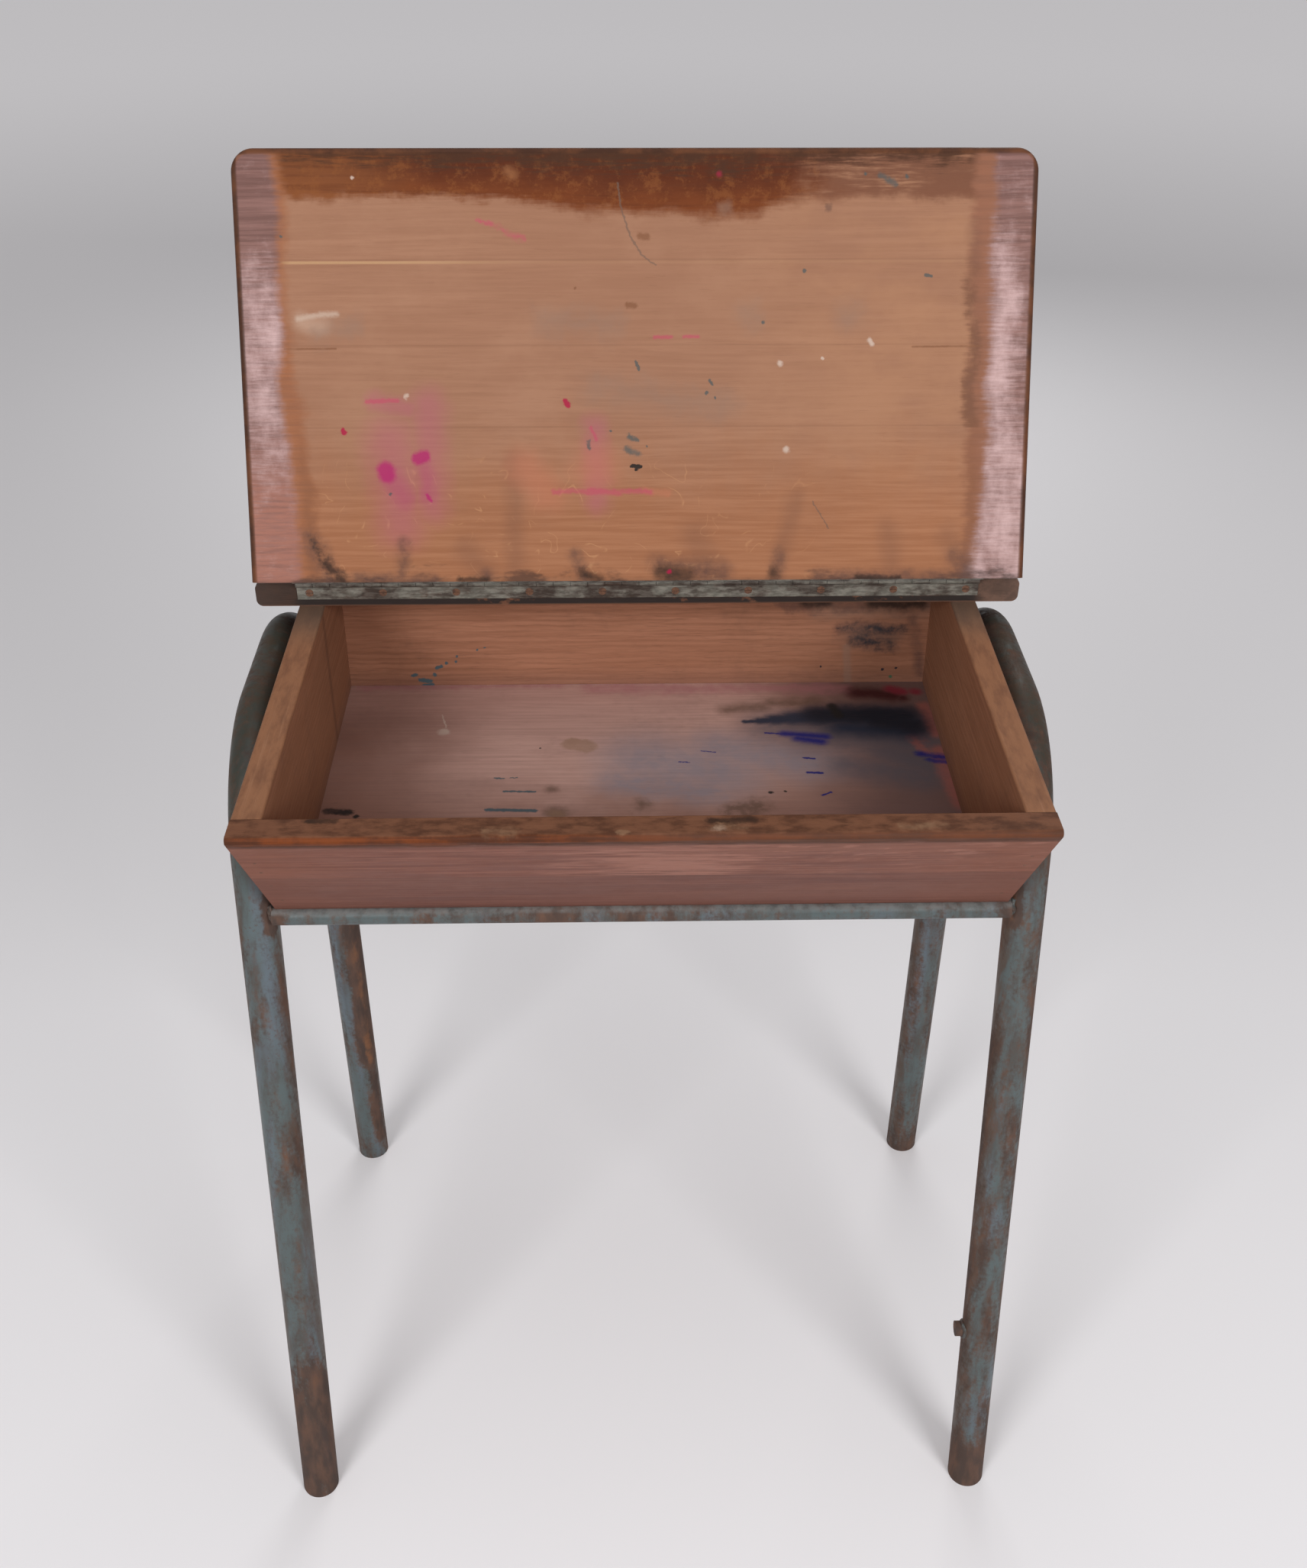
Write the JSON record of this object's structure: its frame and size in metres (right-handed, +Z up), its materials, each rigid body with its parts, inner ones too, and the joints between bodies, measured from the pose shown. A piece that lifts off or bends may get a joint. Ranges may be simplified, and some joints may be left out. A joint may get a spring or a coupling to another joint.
{
  "type": "school desk",
  "caption": "School desk with a raked wooden box between bent tube side frames and a lid on a continuous hinge, shown standing open.",
  "frame": {"origin": "on the floor, midway between the feet", "axes": "+X to the sitter's right, +Y away from the sitter, +Z up"},
  "size_m": [0.57, 0.4087, 0.9783],
  "materials": {
    "tube_paint": "grey-green paint over steel, worn and rusted in patches",
    "rail_paint": "grey-green paint over steel, rusted at the welds",
    "front_wood": "old varnish, worn",
    "box_wood": "old varnish, worn",
    "floor_wood": "bare and ink-stained",
    "hinge_board_wood": "old varnish, worn",
    "lid_wood": "bare beneath with varnished edges, ink-stained",
    "hinge_steel": "dull and rusted",
    "fastener_steel": "rusted"
  },
  "bodies": {
    "desk": {"left_side_frame": "tube_paint", "right_side_frame": "tube_paint", "front_rail": "rail_paint", "rear_rail": "rail_paint", "stretcher_stub": "rail_paint", "front_upper_board": "front_wood", "front_lower_board": "front_wood", "left_side_board": "box_wood", "right_side_board": "box_wood", "back_board": "box_wood", "floor_panel": "floor_wood", "hinge_board": "hinge_board_wood", "hinge_fixed_leaf": "hinge_steel", "hinge_pin": "hinge_steel", "fixed_leaf_screws": "fastener_steel", "hinge_board_screws": "fastener_steel", "frame_screws": "fastener_steel", "front_nails": "fastener_steel", "back_nails": "fastener_steel"},
    "lid": {"lid_rear_board": "lid_wood", "lid_rear_middle_board": "lid_wood", "lid_front_middle_board": "lid_wood", "lid_front_board": "lid_wood", "hinge_lid_leaf": "hinge_steel", "lid_leaf_screws": "fastener_steel"}
  },
  "joints": [
    {"name": "lid_hinge", "type": "hinge", "parent": "desk", "child": "lid", "pos_m": [0, 0.08984, 0.6924], "axis": [1, 0, 0], "range_deg": [0, 112.5]}
  ]
}
